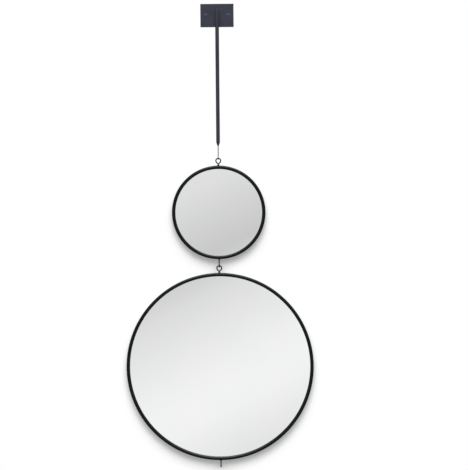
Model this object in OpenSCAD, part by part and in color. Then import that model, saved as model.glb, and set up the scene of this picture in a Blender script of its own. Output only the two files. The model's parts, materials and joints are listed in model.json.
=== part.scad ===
// Two round mirrors hung one below the other from a wall bracket.
// A flat wall plate carries a long thin tube, held off the plate on two short spacers.
// A stiff wire hook turns in the tube's conical tip, and the small mirror's eye hangs on it.
// A hook that turns in the bottom of the small ring carries the eye of the big mirror,
// and the big ring has the same kind of hook, left empty.
// Millimetres, +Z up. The origin is the centre of the plate's back face, which lies on the
// wall, so the wall is the plane y = 0 and the front of the object is towards -Y.

/* [Wall plate] */
// Width of the wall plate
plate_w = 89; // [70:1:120]
// Height of the wall plate
plate_h = 62; // [45:1:90]
// Thickness of the wall plate
plate_t = 4; // [3:0.5:6]
// Distance between the centres of the two wall screws
wall_screw_spacing = 60; // [50:1:100]
// Radius of a wall screw's head
wall_screw_head_r = 4.7; // [4:0.1:6]
// How far a wall screw's domed head stands out of the plate
wall_screw_dome = 1.3; // [0.5:0.1:2]
// Radius of a wall screw's shank
wall_screw_r = 2.25; // [1.75:0.25:3]
// Length of a wall screw from the plate's front face
wall_screw_len = 40; // [25:5:60]

/* [Hanger tube] */
// Distance from the wall to the centre of the tube, which is also the plane of the rings
stand_off = 14; // [12:0.5:20]
// Outer radius of the tube
tube_r = 5; // [4:0.25:6]
// Wall thickness of the tube
tube_wall = 1; // [0.8:0.1:1.5]
// Height of the tube's capped top above the plate's centre
tube_top = 15.2; // [10:0.1:25]
// Length of the straight tube below the plate's centre
tube_drop = 340.6; // [200:0.1:500]
// Length of the conical tip below the tube
tip_len = 9.6; // [6:0.2:16]
// Radius of the conical tip at its lower end
tip_end_r = 1.7; // [1.6:0.1:3]

/* [Drop wire] */
// Radius of the drop wire
wire_r = 1.1; // [0.8:0.1:1.5]
// Distance from the tip's end to the centre of the wire at the bottom of its hook
wire_drop = 36; // [28:0.1:60]
// Radius of the drop wire's hook, to the centre of the wire
wire_hook_r = 4.5; // [4:0.1:6]

/* [Eyes and hooks] */
// Radius of an eye, to the centre of its wire
eye_r = 6.4; // [5.5:0.1:8]
// Radius of an eye's wire
eye_wire_r = 1.6; // [1.25:0.05:2]
// Distance from an eye's centre to the top of its ring
eye_to_ring = 12.8; // [11.5:0.1:18]
// Radius of a lower hook, to the centre of its wire
hook_r = 5; // [4.5:0.1:7]
// Radius of a lower hook's wire
hook_wire_r = 1.6; // [1:0.05:1.75]
// Distance from the small ring to the centre of the wire at the bottom of its hook
small_hook_drop = 21; // [16:0.05:40]
// Distance from the big ring to the centre of the wire at the bottom of its hook
big_hook_drop = 17.95; // [16:0.05:40]

/* [Ring frames] */
// Outer radius of the small ring
small_ring_r = 125; // [80:1:200]
// Outer radius of the big ring
big_ring_r = 250; // [150:1:350]
// Radius of the round tube that the rings are bent from
ring_tube_r = 4.6; // [4:0.1:6]
// Wall thickness of that tube
ring_wall = 1.1; // [0.8:0.1:1.5]

/* [Glass and backing] */
// How far the front of the glass lies behind the middle of the ring
glass_set_back = 2.5; // [2:0.1:4]
// Thickness of the small mirror's glass
small_glass_t = 3; // [2:0.5:4]
// Thickness of the big mirror's glass
big_glass_t = 4; // [3:0.5:5]
// Thickness of the backing board
board_t = 3; // [2:0.5:4]
// Thickness of the bent lugs that hold the board in the ring
lug_t = 1.5; // [1:0.1:2]
// Width of a lug
lug_w = 14; // [10:1:24]
// Lugs in the small ring
small_lug_count = 4; // [3:1:6]
// Lugs in the big ring
big_lug_count = 6; // [4:1:10]

/* [Hidden] */
$fn = 200;

// Colours
charcoal = [0.19, 0.19, 0.22];
ring_black = [0.07, 0.09, 0.10];
wire_black = [0.13, 0.13, 0.14];
zinc = [0.70, 0.71, 0.72];
brass = [0.78, 0.62, 0.34];
nylon = [0.90, 0.89, 0.85];
silvered = [0.84, 0.85, 0.86];
hardboard = [0.47, 0.34, 0.22];
rubber = [0.10, 0.10, 0.10];

eps = 0.5;            // how far a cutting shape runs past the face it opens
running_gap = 0.05;   // radial clearance of a stem that turns in its bore
end_gap = 0.1;        // clearance under a head that turns
hang_gap = 0.2;       // clearance between a hook and the eye that rests on it

// Wall plate
wall_screw_hole_r = 2.5;
wall_screw_neck_r = 2.45;
wall_screw_point = 6;
wall_screw_point_r = 0.4;
screw_socket_w = 4;
screw_socket_depth = 2.4;

// Fixing of the tube to the plate
spacer_z = [6, -21];
spacer_r = 3.6;
spacer_bite = 3;          // how far a spacer's blank runs into the tube before it is cut
tube_screw_r = 1.5;
tube_screw_hole_r = 1.7;
tube_screw_head_r = 3;
tube_screw_sunk = 0.1;
tube_screw_end = 12.3;
insert_r = 2.4;
insert_front = stand_off - sqrt(pow(tube_r, 2) - pow(insert_r, 2));
insert_end = 12.6;
tube_screw_drive_r = 1.2;
tube_screw_drive_depth = 1;
drive_sides = 6;

// Tube, its plug and its tip
tube_inner_r = tube_r - tube_wall;
plug_cap_t = 1;
plug_chamfer = 0.5;
plug_len = 6;
tip_spigot_len = 8;
tip_z = -tube_drop - tip_len;
tip_top_z = -tube_drop + tip_spigot_len;

// Drop wire: the washer and the sleeve that carry it inside the tube
washer_r = 3.5;
washer_t = 0.6;
sleeve_r = 2.6;
sleeve_len = 6;
sleeve_z = tip_top_z + end_gap + washer_t;
wire_end = 0.6;           // how far the wire stands out of the sleeve
wire_top_z = sleeve_z + sleeve_len + wire_end;

// Where a hook's stem starts, in radii of its wire below the top of the bend
stem_sink = 0.8;

// Heights of the hanging pieces, from the top down
wire_hook_z = tip_z - wire_drop;
small_eye_z = wire_hook_z - (eye_r - eye_wire_r - wire_r - hang_gap);
small_top_z = small_eye_z - eye_to_ring;
small_z = small_top_z - small_ring_r;
small_bottom_z = small_z - small_ring_r;
small_hook_z = small_bottom_z - small_hook_drop;
big_eye_z = small_hook_z - (eye_r - eye_wire_r - hook_wire_r - hang_gap);
big_top_z = big_eye_z - eye_to_ring;
big_z = big_top_z - big_ring_r;
big_bottom_z = big_z - big_ring_r;
big_hook_z = big_bottom_z - big_hook_drop;

// Collar that holds an eye's stem, and bush that a hook's stem turns in
plug_depth = 2.2;
collar_plug_r = 2.6;
collar_base_r = 3.2;
collar_top_r = 2.4;
collar_h = 2;
bush_plug_r = 2.3;
bush_base_r = 2.9;
bush_end_r = 2.4;
bush_h = 1.2;
hook_head_r = 2.5;
hook_head_t = 1.4;

// Glass, board, lugs and bumpers
glass_clearance = 4;
glass_arris = 0.6;
board_clearance = 5;
lug_inner = -3.6;
lug_outer = 2.5;
lug_reach = 20;
lug_foot_front = -3;
lug_screw_at = 13;
lug_screw_r = 1.25;
lug_hole_r = 1.4;
lug_screw_depth = 2.5;
lug_head_r = 2.8;
lug_head_t = 1.5;
lug_head_taper = 0.6;
lug_slot_len = 3.2;
lug_slot_w = 0.7;
lug_slot_depth = 0.9;
bumper_r = 6;
bumper_end_r = 5;
bumper_at = 20;
bumper_wall_gap = 0.5;

// ---------------------------------------------------------------- shared shapes

// Stands a shape on the wall plane, its own +Z pointing out of the wall.
module from_wall(x, z) {
    translate([x, 0, z]) rotate([90, 0, 0]) children();
}

// Lays a shape in the plane of the rings: its +X stays X, its +Y points up, its +Z to the front.
module in_ring_plane(z) {
    translate([0, -stand_off, z]) rotate([90, 0, 0]) children();
}

// Stands a shape on the axis that all the hanging pieces share.
module on_axis(z) {
    translate([0, -stand_off, z]) children();
}

// Round bar that starts at the origin and runs in the XY plane at an angle to +X.
module bar(radius, length, angle) {
    rotate([0, 90, angle]) cylinder(r = radius, h = length);
}

// Bent round bar about Z, from one angle round to another.
module bent_bar(radius, bend_r, start, sweep) {
    rotate([0, 0, start])
        rotate_extrude(angle = sweep) translate([bend_r, 0]) circle(r = radius);
}

function ring_mid_r(ring_r) = ring_r - ring_tube_r;
function board_back(glass_t) = -(glass_set_back + glass_t + board_t);

// Solid bar of a ring, used to cut saddles that lie on it.
module ring_bar(ring_r) {
    rotate_extrude() translate([ring_mid_r(ring_r), 0]) circle(r = ring_tube_r);
}

// ---------------------------------------------------------------- wall bracket

// Countersunk hole through the plate, open to the front.
module wall_screw_hole() {
    from_wall(0, 0) {
        translate([0, 0, -eps]) cylinder(r = wall_screw_hole_r, h = plate_t + 2 * eps);
        countersink = wall_screw_head_r - wall_screw_hole_r;
        translate([0, 0, plate_t - countersink])
            cylinder(r1 = wall_screw_hole_r, r2 = wall_screw_head_r, h = countersink);
    }
}

// Countersunk hole through the plate, open to the wall.
module tube_screw_hole() {
    from_wall(0, 0) {
        translate([0, 0, -eps]) cylinder(r = tube_screw_hole_r, h = plate_t + 2 * eps);
        cylinder(
            r1 = tube_screw_head_r,
            r2 = tube_screw_hole_r,
            h = tube_screw_head_r - tube_screw_hole_r
        );
    }
}

module wall_plate() {
    color(charcoal) difference() {
        translate([-plate_w / 2, -plate_t, -plate_h / 2]) cube([plate_w, plate_t, plate_h]);
        for (side = [-1, 1])
            translate([side * wall_screw_spacing / 2, 0, 0]) wall_screw_hole();
        for (z = spacer_z)
            translate([0, 0, z]) tube_screw_hole();
    }
}

// Six-sided recess for a key, open at its top.
module hex_socket() {
    intersection_for (turn = [0, 60, 120])
        rotate([0, 0, turn])
            translate([-screw_socket_w / 2, -screw_socket_w, 0])
            cube([screw_socket_w, 2 * screw_socket_w, screw_socket_depth + eps]);
}

// Domed countersunk screw whose head fills the plate's countersink. Its neck fills the hole
// in the plate, and its thinner shank starts at the wall.
module wall_screw() {
    cone = wall_screw_head_r - wall_screw_neck_r;
    dome_r = (pow(wall_screw_head_r, 2) + pow(wall_screw_dome, 2)) / (2 * wall_screw_dome);
    shank_len = wall_screw_len - plate_t - wall_screw_point;
    difference() {
        union() {
            translate([0, 0, plate_t - cone])
                cylinder(r1 = wall_screw_neck_r, r2 = wall_screw_head_r, h = cone);
            intersection() {
                translate([0, 0, plate_t + wall_screw_dome - dome_r]) sphere(r = dome_r);
                translate([0, 0, plate_t]) cylinder(r = wall_screw_head_r, h = wall_screw_dome);
            }
            cylinder(r = wall_screw_neck_r, h = plate_t - cone);
            translate([0, 0, -shank_len]) cylinder(r = wall_screw_r, h = shank_len);
            translate([0, 0, -shank_len - wall_screw_point])
                cylinder(r1 = wall_screw_point_r, r2 = wall_screw_r, h = wall_screw_point);
        }
        translate([0, 0, plate_t + wall_screw_dome - screw_socket_depth]) hex_socket();
    }
}

module wall_screws() {
    color(wire_black)
        for (side = [-1, 1])
            from_wall(side * wall_screw_spacing / 2, 0) wall_screw();
}

// Short post between the plate and the tube, hollowed at its end to fit the tube.
module tube_spacer() {
    difference() {
        from_wall(0, 0) translate([0, 0, plate_t])
            cylinder(r = spacer_r, h = stand_off - tube_r - plate_t + spacer_bite);
        from_wall(0, 0) translate([0, 0, plate_t - eps])
            cylinder(r = tube_screw_hole_r, h = stand_off);
        on_axis(-2 * spacer_r) cylinder(r = tube_r, h = 4 * spacer_r);
    }
}

module tube_spacers() {
    color(charcoal)
        for (z = spacer_z)
            translate([0, 0, z]) tube_spacer();
}

// Countersunk screw put in from the wall side, with a hexagonal drive.
module tube_screw() {
    cone = tube_screw_head_r - tube_screw_r - tube_screw_sunk;
    difference() {
        union() {
            translate([0, 0, tube_screw_sunk])
                cylinder(r1 = tube_screw_r + cone, r2 = tube_screw_r, h = cone);
            translate([0, 0, tube_screw_sunk + cone])
                cylinder(r = tube_screw_r, h = tube_screw_end - tube_screw_sunk - cone);
        }
        cylinder(r = tube_screw_drive_r, h = tube_screw_drive_depth, $fn = drive_sides);
    }
}

module tube_screws() {
    color(zinc)
        for (z = spacer_z)
            from_wall(0, z) tube_screw();
}

// Threaded insert in the back wall of the tube.
module tube_inserts() {
    color(brass)
        for (z = spacer_z)
            from_wall(0, z) difference() {
                translate([0, 0, insert_front])
                    cylinder(r = insert_r, h = insert_end - insert_front);
                cylinder(r = tube_screw_r, h = insert_end + eps);
            }
}

module hanger_tube() {
    length = tube_drop + tube_top - plug_cap_t;
    color(charcoal) difference() {
        on_axis(-tube_drop) cylinder(r = tube_r, h = length);
        on_axis(-tube_drop - eps) cylinder(r = tube_inner_r, h = length + 2 * eps);
        for (z = spacer_z)
            from_wall(0, z) cylinder(r = insert_r, h = stand_off);
    }
}

module tube_top_plug() {
    color(charcoal) on_axis(tube_top) rotate_extrude() polygon([
        [0, 0],
        [tube_r - plug_chamfer, 0],
        [tube_r, -plug_chamfer],
        [tube_r, -plug_cap_t],
        [tube_inner_r, -plug_cap_t],
        [tube_inner_r, -plug_len],
        [0, -plug_len]
    ]);
}

module tube_tip() {
    color(charcoal) difference() {
        on_axis(-tube_drop) rotate_extrude() polygon([
            [0, tip_spigot_len],
            [tube_inner_r, tip_spigot_len],
            [tube_inner_r, 0],
            [tube_r, 0],
            [tip_end_r, -tip_len],
            [0, -tip_len]
        ]);
        on_axis(tip_z - eps)
            cylinder(r = wire_r + running_gap, h = tip_len + tip_spigot_len + 2 * eps);
    }
}

// ---------------------------------------------------------------- hooks and eyes

// Hook in the YZ plane, open at the upper back. The origin is the centre of the wire at
// the bottom of the bend, and the stem rises above it to stem_top. The stem's foot is sunk
// most of a radius into the end of the bend.
module hook(radius, bend_r, stem_top) {
    stem_foot = 2 * bend_r - stem_sink * radius;
    translate([0, 0, bend_r]) rotate([90, 0, 90]) bent_bar(radius, bend_r, 90, 270);
    translate([0, 0, stem_foot]) cylinder(r = radius, h = stem_top - stem_foot);
}

// Eye in the plane of the ring: a round loop whose two legs close to a point over its stem.
// The origin is the centre of the loop.
module eye(stem_len) {
    point = eye_r * sqrt(2);
    bent_bar(eye_wire_r, eye_r, -45, 270);
    for (side = [-1, 1])
        translate([0, -point, 0]) bar(eye_wire_r, eye_r, 90 + side * 45);
    translate([0, -point, 0]) sphere(r = eye_wire_r);
    translate([0, -point, 0]) bar(eye_wire_r, stem_len - point, -90);
}

module drop_wire() {
    color(wire_black) on_axis(wire_hook_z) hook(wire_r, wire_hook_r, wire_top_z - wire_hook_z);
}

module wire_stop_sleeve() {
    color(brass) on_axis(sleeve_z) difference() {
        cylinder(r = sleeve_r, h = sleeve_len);
        translate([0, 0, -eps]) cylinder(r = wire_r, h = sleeve_len + 2 * eps);
    }
}

module thrust_washer() {
    color(nylon) on_axis(tip_top_z + end_gap) difference() {
        cylinder(r = washer_r, h = washer_t);
        translate([0, 0, -eps]) cylinder(r = wire_r, h = washer_t + 2 * eps);
    }
}

// ---------------------------------------------------------------- mirrors
// Each of these takes the sizes of one mirror, in the plane of its ring.

// Ring of round tube with a hole for the collar at its top and one for the bush below.
module ring_frame(ring_r) {
    difference() {
        ring_bar(ring_r);
        rotate_extrude() translate([ring_mid_r(ring_r), 0]) circle(r = ring_tube_r - ring_wall);
        translate([0, ring_mid_r(ring_r), 0]) bar(collar_plug_r, ring_tube_r + eps, 90);
        translate([0, -ring_mid_r(ring_r), 0]) bar(bush_plug_r, ring_tube_r + eps, -90);
    }
}

// Collar on the outside of a ring, with a plug through the wall of its tube.
// The origin is the ring's outermost point and +Z points away from the ring.
module collar(ring_r, base_r, end_r, height, plug_r, bore_r) {
    skirt = 2;
    difference() {
        union() {
            difference() {
                union() {
                    cylinder(r1 = base_r, r2 = end_r, h = height);
                    translate([0, 0, -skirt]) cylinder(r = base_r, h = skirt);
                }
                translate([0, 0, -ring_r]) rotate([90, 0, 0]) ring_bar(ring_r);
            }
            translate([0, 0, -plug_depth]) cylinder(r = plug_r, h = plug_depth + height / 2);
        }
        translate([0, 0, -plug_depth - eps])
            cylinder(r = bore_r, h = plug_depth + height + 2 * eps);
    }
}

module eye_collar(ring_r) {
    collar(ring_r, collar_base_r, collar_top_r, collar_h, collar_plug_r, eye_wire_r);
}

module hook_bush(ring_r) {
    mirror([0, 0, 1])
        collar(ring_r, bush_base_r, bush_end_r, bush_h, bush_plug_r, hook_wire_r + running_gap);
}

// Hook below a ring, held by a head that turns inside the ring's tube.
module bottom_hook(drop) {
    head_z = drop + plug_depth + end_gap;
    hook(hook_wire_r, hook_r, head_z);
    translate([0, 0, head_z]) cylinder(r = hook_head_r, h = hook_head_t);
}

// Disc of glass with its edges broken all round.
module glass_disc(ring_r, glass_t) {
    glass_r = ring_mid_r(ring_r) - glass_clearance;
    translate([0, 0, -glass_set_back - glass_t]) rotate_extrude() polygon([
        [0, 0],
        [glass_r - glass_arris, 0],
        [glass_r, glass_arris],
        [glass_r, glass_t - glass_arris],
        [glass_r - glass_arris, glass_t],
        [0, glass_t]
    ]);
}

// Places a shape at each lug, +X pointing away from the ring's centre.
module at_lugs(count) {
    for (i = [0 : count - 1])
        rotate([0, 0, i * 360 / count + lug_turn(count)]) children();
}

// Places a shape halfway between the lugs.
module between_lugs(count) {
    for (i = [0 : count - 1])
        rotate([0, 0, (i + 0.5) * 360 / count + lug_turn(count)]) children();
}

// Four lugs sit on the diagonals and six start at the side, so none meets a collar or bush.
function lug_turn(count) = count % 4 == 0 ? 180 / count : 0;

module board_disc(ring_r, glass_t, count) {
    difference() {
        translate([0, 0, board_back(glass_t)])
            cylinder(r = ring_mid_r(ring_r) - board_clearance, h = board_t);
        at_lugs(count)
            translate([ring_mid_r(ring_r) - lug_screw_at, 0, board_back(glass_t) - eps])
            cylinder(r = lug_screw_r, h = lug_screw_depth + eps);
    }
}

// Bent strips, each welded to the back of the ring and lying over the back of the board.
module lugs(ring_r, glass_t, count) {
    back = board_back(glass_t);
    foot_back = -ring_tube_r - lug_t;
    difference() {
        at_lugs(count) translate([ring_mid_r(ring_r), 0, 0]) difference() {
            rotate([90, 0, 0]) linear_extrude(height = lug_w, center = true) polygon([
                [-lug_reach, back - lug_t],
                [lug_inner + lug_t, back - lug_t],
                [lug_inner + lug_t, foot_back],
                [lug_outer, foot_back],
                [lug_outer, lug_foot_front],
                [lug_inner, lug_foot_front],
                [lug_inner, back],
                [-lug_reach, back]
            ]);
            translate([-lug_screw_at, 0, back - lug_t - eps])
                cylinder(r = lug_hole_r, h = lug_t + 2 * eps);
        }
        ring_bar(ring_r);
    }
}

// Round-headed screws through the lugs into the board.
module lug_screw_set(ring_r, glass_t, count) {
    back = board_back(glass_t);
    at_lugs(count) translate([ring_mid_r(ring_r) - lug_screw_at, 0, back]) difference() {
        union() {
            translate([0, 0, -lug_t]) cylinder(r = lug_screw_r, h = lug_t + lug_screw_depth);
            translate([0, 0, -lug_t - lug_head_t])
                cylinder(r1 = lug_head_r - lug_head_taper, r2 = lug_head_r, h = lug_head_t);
        }
        for (turn = [0, 90])
            rotate([0, 0, turn])
                translate([-lug_slot_len / 2, -lug_slot_w / 2, -lug_t - lug_head_t - eps])
                cube([lug_slot_len, lug_slot_w, lug_slot_depth + eps]);
    }
}

// Rubber feet on the back of the board, just short of the wall.
module bumpers(ring_r, glass_t, count) {
    back = board_back(glass_t);
    height = stand_off + back - bumper_wall_gap;
    between_lugs(count) translate([ring_mid_r(ring_r) - bumper_at, 0, back - height])
        cylinder(r1 = bumper_end_r, r2 = bumper_r, h = height);
}

// ---------------------------------------------------------------- small mirror

module small_ring_frame() {
    color(ring_black) in_ring_plane(small_z) ring_frame(small_ring_r);
}

module small_mirror_glass() {
    color(silvered) in_ring_plane(small_z) glass_disc(small_ring_r, small_glass_t);
}

module small_backing_board() {
    color(hardboard) in_ring_plane(small_z)
        board_disc(small_ring_r, small_glass_t, small_lug_count);
}

module small_frame_lugs() {
    color(ring_black) in_ring_plane(small_z) lugs(small_ring_r, small_glass_t, small_lug_count);
}

module small_lug_screws() {
    color(zinc) in_ring_plane(small_z)
        lug_screw_set(small_ring_r, small_glass_t, small_lug_count);
}

module small_wall_bumpers() {
    color(rubber) in_ring_plane(small_z) bumpers(small_ring_r, small_glass_t, small_lug_count);
}

module small_top_eye() {
    color(wire_black) in_ring_plane(small_eye_z) eye(eye_to_ring + plug_depth);
}

module small_eye_collar() {
    color(ring_black) on_axis(small_top_z) eye_collar(small_ring_r);
}

module small_hook_bush() {
    color(ring_black) on_axis(small_bottom_z) hook_bush(small_ring_r);
}

module small_bottom_hook() {
    color(wire_black) on_axis(small_hook_z) bottom_hook(small_hook_drop);
}

// ---------------------------------------------------------------- big mirror

module big_ring_frame() {
    color(ring_black) in_ring_plane(big_z) ring_frame(big_ring_r);
}

module big_mirror_glass() {
    color(silvered) in_ring_plane(big_z) glass_disc(big_ring_r, big_glass_t);
}

module big_backing_board() {
    color(hardboard) in_ring_plane(big_z) board_disc(big_ring_r, big_glass_t, big_lug_count);
}

module big_frame_lugs() {
    color(ring_black) in_ring_plane(big_z) lugs(big_ring_r, big_glass_t, big_lug_count);
}

module big_lug_screws() {
    color(zinc) in_ring_plane(big_z) lug_screw_set(big_ring_r, big_glass_t, big_lug_count);
}

module big_wall_bumpers() {
    color(rubber) in_ring_plane(big_z) bumpers(big_ring_r, big_glass_t, big_lug_count);
}

module big_top_eye() {
    color(wire_black) in_ring_plane(big_eye_z) eye(eye_to_ring + plug_depth);
}

module big_eye_collar() {
    color(ring_black) on_axis(big_top_z) eye_collar(big_ring_r);
}

module big_hook_bush() {
    color(ring_black) on_axis(big_bottom_z) hook_bush(big_ring_r);
}

module big_bottom_hook() {
    color(wire_black) on_axis(big_hook_z) bottom_hook(big_hook_drop);
}

// ---------------------------------------------------------------- node choice

wall_plate();
wall_screws();
tube_spacers();
tube_screws();
tube_inserts();
hanger_tube();
tube_top_plug();
tube_tip();
drop_wire();
wire_stop_sleeve();
thrust_washer();
small_ring_frame();
small_mirror_glass();
small_backing_board();
small_frame_lugs();
small_lug_screws();
small_wall_bumpers();
small_top_eye();
small_eye_collar();
small_hook_bush();
small_bottom_hook();
big_ring_frame();
big_mirror_glass();
big_backing_board();
big_frame_lugs();
big_lug_screws();
big_wall_bumpers();
big_top_eye();
big_eye_collar();
big_hook_bush();
big_bottom_hook();
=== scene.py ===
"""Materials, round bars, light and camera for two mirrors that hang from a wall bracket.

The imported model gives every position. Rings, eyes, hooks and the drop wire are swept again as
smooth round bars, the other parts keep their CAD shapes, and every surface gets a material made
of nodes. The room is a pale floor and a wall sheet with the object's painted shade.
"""

import json
import math

import bpy
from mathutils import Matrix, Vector


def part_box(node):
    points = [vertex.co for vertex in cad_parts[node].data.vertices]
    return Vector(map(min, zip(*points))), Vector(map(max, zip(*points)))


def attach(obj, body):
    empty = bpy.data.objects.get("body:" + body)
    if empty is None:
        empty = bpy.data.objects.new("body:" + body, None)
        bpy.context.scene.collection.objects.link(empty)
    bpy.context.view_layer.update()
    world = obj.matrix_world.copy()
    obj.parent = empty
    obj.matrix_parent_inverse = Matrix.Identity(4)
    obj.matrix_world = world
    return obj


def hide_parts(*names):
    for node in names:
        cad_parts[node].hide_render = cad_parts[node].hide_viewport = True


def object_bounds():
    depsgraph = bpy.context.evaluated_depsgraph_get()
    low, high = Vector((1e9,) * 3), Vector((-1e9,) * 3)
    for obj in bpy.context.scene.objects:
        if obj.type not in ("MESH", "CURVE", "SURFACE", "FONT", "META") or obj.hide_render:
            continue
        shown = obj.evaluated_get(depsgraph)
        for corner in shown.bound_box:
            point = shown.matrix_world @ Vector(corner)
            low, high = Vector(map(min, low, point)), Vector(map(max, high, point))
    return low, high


MM = 0.001
MIRRORS = ("small", "big")
TO_FRONT = Vector((0, -1, 0))
TO_SIDE = Vector((1, 0, 0))
UP = Vector((0, 0, 1))

# The front view; the height that it takes in is measured at the rings
CAMERA_DISTANCE = 4.0
RING_PLANE_Y = -0.014
VIEW_HEIGHT = 1.2554
VIEW_CENTRE_X = 0.0402
VIEW_CENTRE_Z = -0.5884
CAMERA_ROLL_DEG = 0.53
SENSOR_WIDTH = 36.0

# The room: a floor below the object, and a sheet just behind the wall plate's back, which
# carries the object's painted shade. The sheet reaches from just above the small ring to just
# below the lowest hook.
FLOOR_DEPTH_BELOW = 0.25
FLOOR_RADIUS = 1.15
FLOOR_STEPS = 48
WALL_Y = 0.2 * MM
WALL_HALF_WIDTH = 0.9
WALL_ABOVE = 0.006
WALL_BELOW = 0.1

# The light that surfaces see. The mirrors face a pale screen, with greys from its lower right to
# its upper left: low and high are the ends, in a direction's z plus the slope times its x. The
# room round it has greys from the ground to a bright ceiling. Pairs are place and brightness.
SCREEN_SLOPE = -0.5
SCREEN_LOW = -0.16
SCREEN_HIGH = 0.07
SCREEN_GREYS = [
    (0.00, 0.78),
    (0.12, 0.87),
    (0.20, 0.935),
    (0.27, 0.945),
    (0.34, 0.92),
    (0.47, 0.83),
    (0.555, 0.765),
    (0.675, 0.61),
    (0.785, 0.695),
    (0.89, 0.785),
]
ROOM_GREYS = [
    (0.00, 0.16),
    (0.40, 0.40),
    (0.60, 0.44),
    (0.87, 0.38),
    (0.93, 3.4),
    (1.00, 4.2),
]
# The y of the directions where the room begins to give way to the screen, and where it is gone
SCREEN_BEGINS = -0.93
SCREEN_FULL = -0.975

# One broad lamp high in front
KEY_WATTS = 880
KEY_SIZE = 6.0
KEY_LOCATION = (0.0, -6.75, 6.875)
KEY_TARGET = (0.0, 0.0, -0.75)

# The shade painted on the wall sheet: how high the sky that nearby pieces hide stands, how near
# a piece must be to shade it, and the brightness for each share of open sky
SHADE_TILT_DEG = 60
SHADE_REACH = 0.06
SHADE_SAMPLES = 16
SHADE_GREYS = [
    (0.00, 0.28),
    (0.50, 0.35),
    (0.56, 0.405),
    (0.61, 0.47),
    (0.65, 0.53),
    (0.69, 0.60),
    (0.72, 0.68),
    (0.75, 0.77),
    (0.78, 0.86),
    (0.81, 0.93),
    (0.84, 0.98),
    (0.87, 1.00),
]

# The faint blue of a coat's gloss
COAT_TINT = (0.86, 0.96, 1.0, 1.0)

# Glass is silvered where the y of its surface normal lies below this, which is its front face
SILVERED_BELOW = -0.99

# The wall plate's bevel, on edges where the surface turns by more than the angle
PLATE_BEVEL = 0.35 * MM
BEVEL_SEGMENTS = 3
SHARP_DEG = 50

# Round bars: the sides round them, and how far a rounded end turns towards its tip
BAR_SIDES = 28
RING_SIDES = 40
END_TURN_DEG = 84
END_STEPS = 6

# Rings: the steps round each, and the weld's place, swell and half length
RING_STEPS = {"small": 240, "big": 360}
WELD_DEG = 303
WELD_SWELL = 0.12 * MM
WELD_HALF_LENGTH = 2.2 * MM

# Eyes: where the loop leaves off for the legs, the straight share of each leg, and how many wire
# radii the stem reaches into the point
LOOP_START_DEG = -45
LOOP_END_DEG = 225
LEG_STRAIGHT = 0.86
STEM_OVERLAP = 0.3
LOOP_STEPS = 72
LEG_STEPS = 6
POINT_STEPS = 8
STEM_STEPS = 8

# Hooks: wire and head
WIRE_R = 1.1 * MM
HOOK_WIRE_R = 1.6 * MM
HOOK_HEAD_R = 2.5 * MM
HOOK_HEAD_T = 1.4 * MM
HOOK_HEAD_EDGE = 0.25 * MM

# Hooks, in bend radii: the neck's height over the bend's centre, and how far the curve from the
# neck to the bend is pulled straight at each end. The bend starts in front and goes under to the
# back, with 0 degrees at its front and 90 at its top.
NECK_HEIGHT = 1.42
NECK_PULL = 0.42
BEND_PULL = 0.5
BEND_START_DEG = 38
BEND_END_DEG = -180
SHANK_STEPS = 24
NECK_STEPS = 14
BEND_STEPS = 60


# ------------------------------------------------------------------ node helpers


def new_material(name):
    """A material with an empty Principled shader, and what is needed to add to it."""
    material = bpy.data.materials.new(name)
    material.use_nodes = True
    nodes = material.node_tree.nodes
    return material, nodes, material.node_tree.links, nodes["Principled BSDF"]


def noise(nodes, links, scale, detail, finer=None):
    """A noise texture with scale waves a metre, or more along the axes where it is finer."""
    coordinates = nodes.new("ShaderNodeTexCoord")
    texture = nodes.new("ShaderNodeTexNoise")
    texture.inputs["Scale"].default_value = scale
    texture.inputs["Detail"].default_value = detail
    if finer is None:
        links.new(coordinates.outputs["Object"], texture.inputs["Vector"])
    else:
        mapping = nodes.new("ShaderNodeMapping")
        mapping.inputs["Scale"].default_value = finer
        links.new(coordinates.outputs["Object"], mapping.inputs["Vector"])
        links.new(mapping.outputs["Vector"], texture.inputs["Vector"])
    return texture.outputs["Fac"]


def ramp(nodes, links, source, stops):
    """A colour ramp; stops are pairs of place and (red, green, blue)."""
    node = nodes.new("ShaderNodeValToRGB")
    elements = node.color_ramp.elements
    while len(elements) < len(stops):
        elements.new(1.0)
    for element, (place, colour) in zip(elements, stops):
        element.position = place
        element.color = (*colour, 1.0)
    links.new(source, node.inputs["Fac"])
    return node.outputs["Color"]


def grey_stops(pairs):
    """Ramp stops in neutral grey, from pairs of place and brightness."""
    return [(place, (grey, grey, grey)) for place, grey in pairs]


def spread(nodes, links, source, low, high):
    """Maps a value from 0..1 to low..high."""
    node = nodes.new("ShaderNodeMapRange")
    node.inputs["To Min"].default_value = low
    node.inputs["To Max"].default_value = high
    links.new(source, node.inputs["Value"])
    return node.outputs["Result"]


def squeeze(nodes, links, source, low, high, smooth=False):
    """Maps a value from low..high to 0..1."""
    node = nodes.new("ShaderNodeMapRange")
    node.interpolation_type = "SMOOTHSTEP" if smooth else "LINEAR"
    node.inputs["From Min"].default_value = low
    node.inputs["From Max"].default_value = high
    links.new(source, node.inputs["Value"])
    return node.outputs["Result"]


def mix(nodes, links, share, first, second, data_type="RGBA"):
    """Goes from the first value to the second as the share goes from 0 to 1."""
    node = nodes.new("ShaderNodeMix")
    node.data_type = data_type
    links.new(share, node.inputs["Factor"])
    links.new(first, node.inputs["A"])
    links.new(second, node.inputs["B"])
    return node.outputs["Result"]


def mix_shaders(nodes, links, share, first, second):
    """Goes from the first shader to the second as the share goes from 0 to 1."""
    node = nodes.new("ShaderNodeMixShader")
    links.new(share, node.inputs["Fac"])
    links.new(first, node.inputs[1])
    links.new(second, node.inputs[2])
    return node.outputs["Shader"]


def bump(nodes, links, shader, height, distance, strength):
    """Lets a height change the surface's normal; distance is the relief in metres."""
    node = nodes.new("ShaderNodeBump")
    node.inputs["Distance"].default_value = distance
    node.inputs["Strength"].default_value = strength
    links.new(height, node.inputs["Height"])
    links.new(node.outputs["Normal"], shader.inputs["Normal"])


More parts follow.
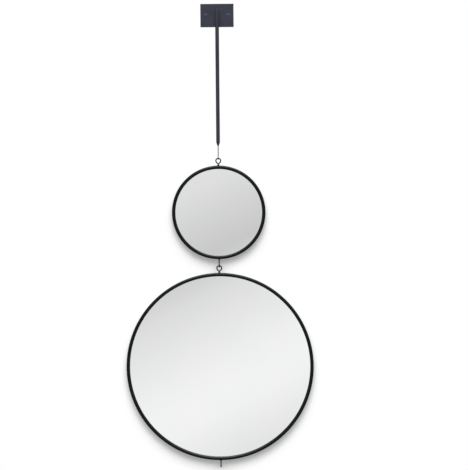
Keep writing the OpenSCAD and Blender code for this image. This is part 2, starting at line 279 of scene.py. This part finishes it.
# ------------------------------------------------------------------ materials


def coated_metal(name, dark, light, rough, grain, relief, shine):
    """Paint or powder coat: a fine grain, faint clouds of colour, and gloss that varies."""
    material, nodes, links, shader = new_material(name)
    clouds = noise(nodes, links, scale=35.0, detail=3.0)
    colour = ramp(nodes, links, clouds, [(0.3, dark), (0.7, light)])
    links.new(colour, shader.inputs["Base Color"])
    patches = noise(nodes, links, scale=160.0, detail=5.0)
    links.new(spread(nodes, links, patches, *rough), shader.inputs["Roughness"])
    bump(nodes, links, shader, noise(nodes, links, grain, detail=2.0), relief, strength=0.6)
    shader.inputs["Specular IOR Level"].default_value = shine
    shader.inputs["Specular Tint"].default_value = COAT_TINT
    return material


def bare_metal(name, dark, light, rough):
    """Plated or turned metal with fine lines left by the tool."""
    material, nodes, links, shader = new_material(name)
    shader.inputs["Metallic"].default_value = 1.0
    lines = noise(nodes, links, scale=900.0, detail=3.0, finer=(1.0, 1.0, 6.0))
    colour = ramp(nodes, links, lines, [(0.3, dark), (0.7, light)])
    links.new(colour, shader.inputs["Base Color"])
    links.new(spread(nodes, links, lines, *rough), shader.inputs["Roughness"])
    bump(nodes, links, shader, lines, distance=0.02 * MM, strength=0.5)
    return material


def moulded(name, dark, light, rough, grain):
    """Rubber or nylon with the dull, slightly uneven skin of a moulding."""
    material, nodes, links, shader = new_material(name)
    skin = noise(nodes, links, grain, detail=4.0)
    colour = ramp(nodes, links, skin, [(0.3, dark), (0.7, light)])
    links.new(colour, shader.inputs["Base Color"])
    links.new(spread(nodes, links, skin, *rough), shader.inputs["Roughness"])
    bump(nodes, links, shader, skin, distance=0.08 * MM, strength=0.6)
    return material


def front_mask(nodes, links):
    """1 on the face that looks to the front, 0 elsewhere."""
    coordinates = nodes.new("ShaderNodeTexCoord")
    normal = nodes.new("ShaderNodeSeparateXYZ")
    links.new(coordinates.outputs["Normal"], normal.inputs["Vector"])
    mask = nodes.new("ShaderNodeMath")
    mask.operation = "LESS_THAN"
    mask.inputs[1].default_value = SILVERED_BELOW
    links.new(normal.outputs["Y"], mask.inputs[0])
    return mask.outputs["Value"]


def mirror_glass():
    """Mirror glass: silvered and a little hazy in front, painted grey on its edge and back."""
    material, nodes, links, shader = new_material("mirror_glass")
    haze = noise(nodes, links, scale=9.0, detail=3.0)
    silver = ramp(nodes, links, haze, [(0.3, (0.93, 0.935, 0.94)), (0.7, (0.945, 0.945, 0.945))])
    silver_rough = spread(nodes, links, haze, 0.015, 0.03)
    strokes = noise(nodes, links, scale=60.0, detail=4.0, finer=(1.0, 1.0, 0.2))
    paint = ramp(nodes, links, strokes, [(0.3, (0.10, 0.11, 0.11)), (0.7, (0.15, 0.16, 0.16))])
    paint_rough = spread(nodes, links, strokes, 0.5, 0.7)
    silvered = front_mask(nodes, links)
    colour = mix(nodes, links, silvered, paint, silver)
    rough = mix(nodes, links, silvered, paint_rough, silver_rough, "FLOAT")
    links.new(colour, shader.inputs["Base Color"])
    links.new(rough, shader.inputs["Roughness"])
    links.new(silvered, shader.inputs["Metallic"])
    return material


def hardboard():
    """Pressed wood fibre: short pale fibres over broad clouds in a warm brown sheet."""
    material, nodes, links, shader = new_material("hardboard")
    fibres = noise(nodes, links, scale=420.0, detail=8.0, finer=(1.0, 1.0, 3.0))
    clouds = noise(nodes, links, scale=14.0, detail=3.0)
    tone = nodes.new("ShaderNodeMath")
    tone.operation = "MULTIPLY_ADD"
    tone.inputs[1].default_value = 0.35
    links.new(clouds, tone.inputs[0])
    links.new(fibres, tone.inputs[2])
    stops = [
        (0.45, (0.10, 0.055, 0.028)),
        (0.62, (0.20, 0.118, 0.062)),
        (0.85, (0.33, 0.215, 0.125)),
    ]
    links.new(ramp(nodes, links, tone.outputs["Value"], stops), shader.inputs["Base Color"])
    links.new(spread(nodes, links, fibres, 0.62, 0.85), shader.inputs["Roughness"])
    bump(nodes, links, shader, fibres, distance=0.15 * MM, strength=0.7)
    return material


def make_coats():
    """The paints and powder coats, by material slot."""
    return {
        "charcoal_coat": coated_metal(
            "charcoal_coat",
            dark=(0.029, 0.030, 0.044),
            light=(0.038, 0.039, 0.055),
            rough=(0.50, 0.66),
            grain=2600.0,
            relief=0.06 * MM,
            shine=0.15,
        ),
        "ring_enamel": coated_metal(
            "ring_enamel",
            dark=(0.0020, 0.0035, 0.0042),
            light=(0.0036, 0.0058, 0.0068),
            rough=(0.30, 0.42),
            grain=1500.0,
            relief=0.03 * MM,
            shine=0.18,
        ),
        "black_wire": coated_metal(
            "black_wire",
            dark=(0.008, 0.008, 0.009),
            light=(0.016, 0.0155, 0.016),
            rough=(0.38, 0.52),
            grain=3000.0,
            relief=0.04 * MM,
            shine=0.2,
        ),
        "black_screw": coated_metal(
            "black_screw",
            dark=(0.052, 0.054, 0.074),
            light=(0.070, 0.072, 0.098),
            rough=(0.44, 0.56),
            grain=3200.0,
            relief=0.03 * MM,
            shine=0.15,
        ),
    }


def make_bare_materials():
    """The bare metals, the mouldings, the glass and the board, by material slot."""
    return {
        "zinc_steel": bare_metal(
            "zinc_steel",
            dark=(0.52, 0.53, 0.55),
            light=(0.70, 0.71, 0.73),
            rough=(0.26, 0.40),
        ),
        "brass": bare_metal(
            "brass",
            dark=(0.62, 0.42, 0.17),
            light=(0.80, 0.60, 0.30),
            rough=(0.22, 0.36),
        ),
        "nylon": moulded(
            "nylon",
            dark=(0.74, 0.72, 0.66),
            light=(0.84, 0.82, 0.76),
            rough=(0.40, 0.55),
            grain=700.0,
        ),
        "bumper_rubber": moulded(
            "bumper_rubber",
            dark=(0.016, 0.016, 0.016),
            light=(0.030, 0.030, 0.030),
            rough=(0.70, 0.90),
            grain=1800.0,
        ),
        "mirror_glass": mirror_glass(),
        "hardboard": hardboard(),
    }


# ------------------------------------------------------------------ swept round bars


def arc(centre, radius, start_deg, end_deg, across, up, steps):
    """Points on a circle from one angle to another; angle 0 lies along across, 90 along up."""
    points = []
    for i in range(steps + 1):
        angle = math.radians(start_deg + (end_deg - start_deg) * i / steps)
        points.append(centre + radius * (math.cos(angle) * across + math.sin(angle) * up))
    return points


def bezier(start, start_pull, end_pull, end, steps):
    """Points inside a cubic curve, without its two ends."""
    points = []
    for i in range(1, steps):
        t = i / steps
        s = 1 - t
        near_start = s**3 * start + 3 * s * s * t * start_pull
        near_end = t**3 * end + 3 * s * t * t * end_pull
        points.append(near_start + near_end)
    return points


def straight(start, end, steps):
    """Points along a line, both ends included."""
    return [start.lerp(end, i / steps) for i in range(steps + 1)]


def sweep(points, radii, normal, closed, sides=BAR_SIDES):
    """Vertices and faces of a round bar along points that lie in a plane with this normal."""
    count = len(points)
    vertices = []
    for i, point in enumerate(points):
        before = points[i - 1] if closed or i > 0 else point
        after = points[(i + 1) % count] if closed or i < count - 1 else point
        side = (after - before).normalized().cross(normal).normalized()
        for j in range(sides):
            angle = 2 * math.pi * j / sides
            outwards = math.cos(angle) * side + math.sin(angle) * normal
            vertices.append(point + radii[i] * outwards)
    faces = []
    for i in range(count if closed else count - 1):
        for j in range(sides):
            k = (j + 1) % sides
            n = (i + 1) % count
            faces.append((i * sides + j, i * sides + k, n * sides + k, n * sides + j))
    if not closed:
        faces.append(tuple(range(sides)))
        faces.append(tuple(range(count * sides - 1, (count - 1) * sides - 1, -1)))
    return vertices, faces


def round_end(points, radius):
    """Adds a half-round end after the last point, and returns the points with their radii."""
    direction = (points[-1] - points[-2]).normalized()
    radii = [radius] * len(points)
    last = points[-1]
    rounded = list(points)
    for i in range(1, END_STEPS + 1):
        angle = math.radians(END_TURN_DEG * i / END_STEPS)
        rounded.append(last + direction * radius * math.sin(angle))
        radii.append(radius * math.cos(angle))
    return rounded, radii


def mesh_object(name, parts):
    """An object made of several swept bars, smooth along them and flat at their ends."""
    vertices = []
    faces = []
    for part_vertices, part_faces in parts:
        first = len(vertices)
        vertices += part_vertices
        faces += [tuple(first + v for v in face) for face in part_faces]
    mesh = bpy.data.meshes.new(name)
    mesh.from_pydata([tuple(v) for v in vertices], [], faces)
    mesh.validate()
    mesh.polygons.foreach_set("use_smooth", [len(p.vertices) == 4 for p in mesh.polygons])
    mesh.update()
    obj = bpy.data.objects.new(name, mesh)
    bpy.context.scene.collection.objects.link(obj)
    return obj


# ------------------------------------------------------------------ pieces


def corners(node):
    """The lower and the upper corner of a CAD node's box."""
    low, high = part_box(node)
    return Vector(low), Vector(high)


def ring_piece(which):
    """A bent tube with the faint swell of its one welded joint, near the bottom."""
    low, high = corners(f"{which}_ring_frame")
    tube_r = (high.y - low.y) / 2
    mid_r = (high.x - low.x) / 2 - tube_r
    steps = RING_STEPS[which]
    # The arc's last point is its first again, and is dropped
    points = arc((low + high) / 2, mid_r, 0, 360, TO_SIDE, UP, steps)[:-1]
    radii = []
    for i in range(steps):
        from_weld = math.radians(360 * i / steps - WELD_DEG) * mid_r
        swell = WELD_SWELL * math.exp(-((from_weld / WELD_HALF_LENGTH) ** 2))
        radii.append(tube_r + swell)
    bar = sweep(points, radii, TO_FRONT, True, RING_SIDES)
    return mesh_object(f"{which}_ring", [bar])


def eye_piece(which):
    """A loop whose legs close to a point, and the stem that goes down into the collar."""
    low, high = corners(f"{which}_top_eye")
    wire_r = (high.y - low.y) / 2
    mid_r = (high.x - low.x) / 2 - wire_r
    centre = (low + high) / 2
    centre.z = high.z - mid_r - wire_r
    # Straight legs that leave the loop at these angles meet this far below its centre
    point = centre - UP * mid_r * math.sqrt(2)
    loop = arc(centre, mid_r, LOOP_START_DEG, LOOP_END_DEG, TO_SIDE, UP, LOOP_STEPS)
    leg = loop[-1].lerp(point, LEG_STRAIGHT)
    other_leg = loop[0].lerp(point, LEG_STRAIGHT)
    loop += straight(loop[-1], leg, LEG_STEPS)[1:]
    loop += bezier(leg, point, point, other_leg, POINT_STEPS)
    loop += straight(other_leg, loop[0], LEG_STEPS)[:-1]
    stem_foot = Vector((point.x, point.y, low.z))
    stem = straight(point + UP * STEM_OVERLAP * wire_r, stem_foot, STEM_STEPS)
    loop_bar = sweep(loop, [wire_r] * len(loop), TO_FRONT, True)
    stem_bar = sweep(stem, [wire_r] * len(stem), TO_FRONT, False)
    return mesh_object(f"{which}_eye", [loop_bar, stem_bar])


def hook_path(top, bottom_z, bend_r):
    """Straight down, over into the bend, and round it to the open upper back."""
    centre = Vector((top.x, top.y, bottom_z + bend_r))
    neck = centre + UP * bend_r * NECK_HEIGHT
    bend = arc(centre, bend_r, BEND_START_DEG, BEND_END_DEG, TO_FRONT, UP, BEND_STEPS)
    start = math.radians(BEND_START_DEG)
    back_up = math.cos(start) * UP - math.sin(start) * TO_FRONT
    neck_pull = neck - UP * bend_r * NECK_PULL
    bend_pull = bend[0] + back_up * bend_r * BEND_PULL
    shank = straight(top, neck, SHANK_STEPS)
    return shank + bezier(neck, neck_pull, bend_pull, bend[0], NECK_STEPS) + bend


def hook_head(foot):
    """A flat round head with broken edges, standing on the hook's upper end."""
    profile = [
        (0, HOOK_HEAD_R - HOOK_HEAD_EDGE),
        (HOOK_HEAD_EDGE, HOOK_HEAD_R),
        (HOOK_HEAD_T - HOOK_HEAD_EDGE, HOOK_HEAD_R),
        (HOOK_HEAD_T, HOOK_HEAD_R - HOOK_HEAD_EDGE),
    ]
    points = [foot + UP * height for height, _ in profile]
    radii = [radius for _, radius in profile]
    return sweep(points, radii, TO_SIDE, False)


def hook_piece(node, name, wire_r, has_head):
    """A hook of bent wire, with a turned head at its top where it has one."""
    low, high = corners(node)
    bend_r = (high.y - low.y) / 2 - wire_r
    top = (low + high) / 2
    top.z = high.z - HOOK_HEAD_T if has_head else high.z
    points, radii = round_end(hook_path(top, low.z + wire_r, bend_r), wire_r)
    bars = [sweep(points, radii, TO_SIDE, False)]
    if has_head:
        bars.append(hook_head(top))
    return mesh_object(name, bars)


def put_on_body(piece, node, body, slot, materials):
    """Puts a finished piece on its body, in place of its CAD node."""
    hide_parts(node)
    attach(piece, body)
    piece.data.materials.append(materials[slot])


def place_bars(materials):
    """Sweeps each mirror's ring, eye and hook, and the drop wire."""
    for mirror in MIRRORS:
        body = f"{mirror}_mirror"
        ring = ring_piece(mirror)
        put_on_body(ring, f"{mirror}_ring_frame", body, "ring_enamel", materials)
        eye = eye_piece(mirror)
        put_on_body(eye, f"{mirror}_top_eye", body, "black_wire", materials)
        node = f"{mirror}_bottom_hook"
        hook = hook_piece(node, f"{mirror}_hook_wire", HOOK_WIRE_R, True)
        put_on_body(hook, node, f"{mirror}_hook", "black_wire", materials)
    wire = hook_piece("drop_wire", "drop_wire_bar", WIRE_R, False)
    put_on_body(wire, "drop_wire", "wire_hanger", "black_wire", materials)


def dress_nodes(frame, materials):
    """Gives every CAD node the material of its slot, and the wall plate soft edges."""
    for part in frame["record"]["subparts"]:
        node = frame["nodes"][part["node"]]
        node.data.materials.clear()
        node.data.materials.append(materials[part["material_slot"]])
    bevel = frame["nodes"]["wall_plate"].modifiers.new("edges", "BEVEL")
    bevel.width = PLATE_BEVEL
    bevel.segments = BEVEL_SEGMENTS
    bevel.limit_method = "ANGLE"
    bevel.angle_limit = math.radians(SHARP_DEG)


# ------------------------------------------------------------------ room


def stage_mesh(name, vertices, faces):
    """A flat sheet that belongs to the room."""
    mesh = bpy.data.meshes.new(name)
    mesh.from_pydata(vertices, [], faces)
    obj = bpy.data.objects.new(name, mesh)
    bpy.context.scene.collection.objects.link(obj)
    return obj


def one_sided(nodes, links, front):
    """Gives a sheet of the room this shader in front, and leaves it clear from behind."""
    side = nodes.new("ShaderNodeNewGeometry")
    clear = nodes.new("ShaderNodeBsdfTransparent")
    surface = mix_shaders(nodes, links, side.outputs["Backfacing"], front, clear.outputs["BSDF"])
    links.new(surface, nodes["Material Output"].inputs["Surface"])


def make_floor(low):
    """A pale half-round floor below the object, from the wall to the front."""
    z = low[2] - FLOOR_DEPTH_BELOW
    rim = []
    for i in range(FLOOR_STEPS + 1):
        angle = math.pi * (1 + i / FLOOR_STEPS)
        rim.append((FLOOR_RADIUS * math.cos(angle), FLOOR_RADIUS * math.sin(angle), z))
    floor = stage_mesh("floor", rim, [tuple(range(len(rim)))])
    material, nodes, links, shader = new_material("floor")
    tone = noise(nodes, links, scale=3.0, detail=2.0)
    colour = ramp(nodes, links, tone, grey_stops([(0.0, 0.80), (1.0, 0.84)]))
    links.new(colour, shader.inputs["Base Color"])
    shader.inputs["Roughness"].default_value = 0.9
    one_sided(nodes, links, shader.outputs["BSDF"])
    floor.data.materials.append(material)
    floor.visible_diffuse = False
    floor.visible_glossy = False


def painted_shade_material():
    """Clear, with painted shade: darker the more of the sky above and in front is hidden nearby.
    """
    material, nodes, links, shader = new_material("wall")
    nodes.remove(shader)
    tilt = math.radians(SHADE_TILT_DEG)
    towards_light = nodes.new("ShaderNodeCombineXYZ")
    towards_light.inputs["Y"].default_value = -math.cos(tilt)
    towards_light.inputs["Z"].default_value = math.sin(tilt)
    open_sky = nodes.new("ShaderNodeAmbientOcclusion")
    open_sky.samples = SHADE_SAMPLES
    open_sky.inputs["Distance"].default_value = SHADE_REACH
    links.new(towards_light.outputs["Vector"], open_sky.inputs["Normal"])
    # painted shade: the sheet's colour darkens where nearby pieces hide the sky above and in
    # front
    shade = ramp(nodes, links, open_sky.outputs["AO"], grey_stops(SHADE_GREYS))
    sheet = nodes.new("ShaderNodeBsdfTransparent")
    links.new(shade, sheet.inputs["Color"])
    one_sided(nodes, links, sheet.outputs["BSDF"])
    return material


def make_wall(low):
    """A sheet in the wall's place that shows only the object's shade, painted on it.

    It neither lights the object nor blocks its light, and it is clear from behind.
    """
    bottom = low[2] - WALL_BELOW
    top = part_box("small_ring_frame")[1][2] + WALL_ABOVE
    rim = [
        (-WALL_HALF_WIDTH, WALL_Y, bottom),
        (WALL_HALF_WIDTH, WALL_Y, bottom),
        (WALL_HALF_WIDTH, WALL_Y, top),
        (-WALL_HALF_WIDTH, WALL_Y, top),
    ]
    wall = stage_mesh("wall", rim, [(0, 1, 2, 3)])
    wall.data.materials.append(painted_shade_material())
    wall.visible_glossy = False
    wall.visible_diffuse = False
    wall.visible_shadow = False


def make_key_light():
    """A broad soft light high in front, far enough to fall alike on both mirrors."""
    data = bpy.data.lights.new("key", "AREA")
    data.shape = "SQUARE"
    data.size = KEY_SIZE
    data.energy = KEY_WATTS
    obj = bpy.data.objects.new("key", data)
    obj.visible_camera = False
    obj.location = KEY_LOCATION
    aim = Vector(KEY_TARGET) - Vector(KEY_LOCATION)
    obj.rotation_euler = aim.to_track_quat("-Z", "Y").to_euler()
    bpy.context.scene.collection.objects.link(obj)


def make_camera():
    """A long lens straight in front, as far back as the framing needs."""
    data = bpy.data.cameras.new("camera")
    data.sensor_width = SENSOR_WIDTH
    data.lens = SENSOR_WIDTH * (CAMERA_DISTANCE + RING_PLANE_Y) / VIEW_HEIGHT
    camera = bpy.data.objects.new("camera", data)
    camera.location = (VIEW_CENTRE_X, -CAMERA_DISTANCE, VIEW_CENTRE_Z)
    camera.rotation_euler = (math.radians(90), math.radians(CAMERA_ROLL_DEG), 0)
    bpy.context.scene.collection.objects.link(camera)
    bpy.context.scene.camera = camera


def screen_light(nodes, links, direction):
    """The pale screen: its greys change along a slanting line."""
    slant = nodes.new("ShaderNodeMath")
    slant.operation = "MULTIPLY_ADD"
    slant.inputs[1].default_value = SCREEN_SLOPE
    links.new(direction.outputs["X"], slant.inputs[0])
    links.new(direction.outputs["Z"], slant.inputs[2])
    along = squeeze(nodes, links, slant.outputs["Value"], SCREEN_LOW, SCREEN_HIGH)
    return ramp(nodes, links, along, grey_stops(SCREEN_GREYS))


def room_light(nodes, links, direction):
    """The room: its greys change from straight down to straight up."""
    height = squeeze(nodes, links, direction.outputs["Z"], -1.0, 1.0)
    return ramp(nodes, links, height, grey_stops(ROOM_GREYS))


def studio_light(nodes, links):
    """The light from every direction, with the screen in front and the room round it."""
    coordinates = nodes.new("ShaderNodeTexCoord")
    direction = nodes.new("ShaderNodeSeparateXYZ")
    links.new(coordinates.outputs["Generated"], direction.inputs["Vector"])
    room = room_light(nodes, links, direction)
    screen = screen_light(nodes, links, direction)
    y = direction.outputs["Y"]
    in_front = squeeze(nodes, links, y, SCREEN_BEGINS, SCREEN_FULL, smooth=True)
    return mix(nodes, links, in_front, room, screen)


def make_world():
    """White for the eye, while surfaces see the studio."""
    scene = bpy.context.scene
    scene.world = bpy.data.worlds.new("studio")
    scene.world.use_nodes = True
    nodes = scene.world.node_tree.nodes
    links = scene.world.node_tree.links
    nodes.clear()
    white = nodes.new("ShaderNodeBackground")
    white.inputs["Color"].default_value = (1, 1, 1, 1)
    studio = nodes.new("ShaderNodeBackground")
    links.new(studio_light(nodes, links), studio.inputs["Color"])
    seen = nodes.new("ShaderNodeLightPath").outputs["Is Camera Ray"]
    output = nodes.new("ShaderNodeOutputWorld")
    surface = mix_shaders(
        nodes, links, seen, studio.outputs["Background"], white.outputs["Background"]
    )
    links.new(surface, output.inputs["Surface"])
    scene.view_settings.view_transform = "Standard"


# ------------------------------------------------------------------ the scene

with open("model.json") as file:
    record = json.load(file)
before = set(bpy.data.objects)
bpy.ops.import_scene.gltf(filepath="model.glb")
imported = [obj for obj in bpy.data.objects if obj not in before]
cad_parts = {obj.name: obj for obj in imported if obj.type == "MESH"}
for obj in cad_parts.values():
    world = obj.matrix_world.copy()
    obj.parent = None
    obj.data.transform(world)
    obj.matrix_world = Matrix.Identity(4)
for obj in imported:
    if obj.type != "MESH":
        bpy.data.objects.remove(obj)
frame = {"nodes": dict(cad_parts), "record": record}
cad_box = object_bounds()
materials = make_coats() | make_bare_materials()
dress_nodes(frame, materials)
place_bars(materials)
make_camera()
make_world()
make_floor(cad_box[0])
make_wall(cad_box[0])
make_key_light()
